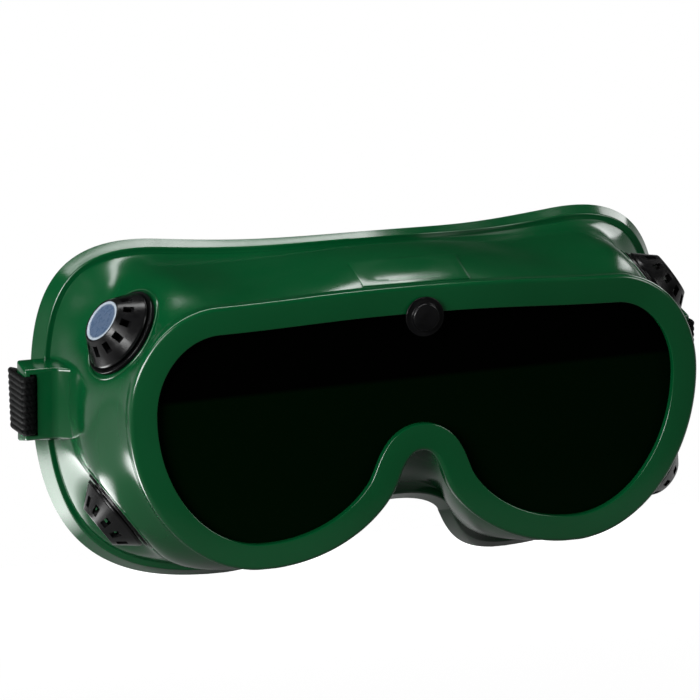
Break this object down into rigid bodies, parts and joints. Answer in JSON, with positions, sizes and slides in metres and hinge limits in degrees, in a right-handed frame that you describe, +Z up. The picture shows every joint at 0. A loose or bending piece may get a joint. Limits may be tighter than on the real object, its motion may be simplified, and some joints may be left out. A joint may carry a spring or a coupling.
{
  "type": "welding goggles",
  "caption": "Soft moulded wide-vision welding goggles with a bowed dark lens, round turning vent caps and an elastic head strap with keepers.",
  "frame": {"origin": "middle of the box's underside, on the surface that the rim and the face flange rest on", "axes": "+X to the wearer's left, +Y back towards the wearer's head, +Z up; the lens faces -Y"},
  "size_m": [0.193, 0.1278, 0.09],
  "materials": {
    "green_pvc": "glossy soft moulding",
    "dark_lens": "polished dark filter",
    "black_plastic": "satin",
    "pale_disc": "glossy",
    "black_elastic": "ribbed webbing"
  },
  "bodies": {
    "face_piece": {"body_moulding": "green_pvc", "lens": "dark_lens", "stud_socket": "black_plastic", "head_strap": "black_elastic", "vent_seat_upper_left": "black_plastic", "vent_seat_upper_right": "black_plastic", "vent_seat_lower_left": "black_plastic", "vent_seat_lower_right": "black_plastic", "vent_retainer_upper_left": "black_plastic", "vent_retainer_upper_right": "black_plastic", "vent_retainer_lower_left": "black_plastic", "vent_retainer_lower_right": "black_plastic"},
    "cap_upper_left": {"vent_cap_upper_left": "black_plastic", "vent_disc_upper_left": "pale_disc"},
    "cap_upper_right": {"vent_cap_upper_right": "black_plastic", "vent_disc_upper_right": "pale_disc"},
    "cap_lower_left": {"vent_cap_lower_left": "black_plastic", "vent_disc_lower_left": "pale_disc"},
    "cap_lower_right": {"vent_cap_lower_right": "black_plastic", "vent_disc_lower_right": "pale_disc"},
    "stud": {"lens_stud": "black_plastic"},
    "slider_left": {"strap_slider_left": "black_plastic"},
    "slider_right": {"strap_slider_right": "black_plastic"}
  },
  "joints": [
    {"name": "cap_upper_left_turn", "type": "hinge", "parent": "face_piece", "child": "cap_upper_left", "pos_m": [-0.07414, -0.0358, 0.06447], "axis": [-0.816, -0.267, 0.5127], "continuous": true},
    {"name": "cap_upper_right_turn", "type": "hinge", "parent": "face_piece", "child": "cap_upper_right", "pos_m": [0.07414, -0.0358, 0.06447], "axis": [0.816, -0.267, 0.5127], "continuous": true},
    {"name": "cap_lower_left_turn", "type": "hinge", "parent": "face_piece", "child": "cap_lower_left", "pos_m": [-0.0742, -0.02071, 0.0196], "axis": [-0.789, 0.2609, -0.5562], "continuous": true},
    {"name": "cap_lower_right_turn", "type": "hinge", "parent": "face_piece", "child": "cap_lower_right", "pos_m": [0.0742, -0.02071, 0.0196], "axis": [0.789, 0.2609, -0.5562], "continuous": true},
    {"name": "lens_stud_pull", "type": "slide", "parent": "face_piece", "child": "stud", "axis": [0, -0.9644, -0.2645], "range_m": [0, 0.0085]},
    {"name": "slider_left_travel", "type": "slide", "parent": "face_piece", "child": "slider_left", "axis": [0.7317, 0.6588, -0.1748], "range_m": [-0.01, 0.01]},
    {"name": "slider_right_travel", "type": "slide", "parent": "face_piece", "child": "slider_right", "axis": [-0.7317, 0.6588, -0.1748], "range_m": [-0.01, 0.01]}
  ]
}
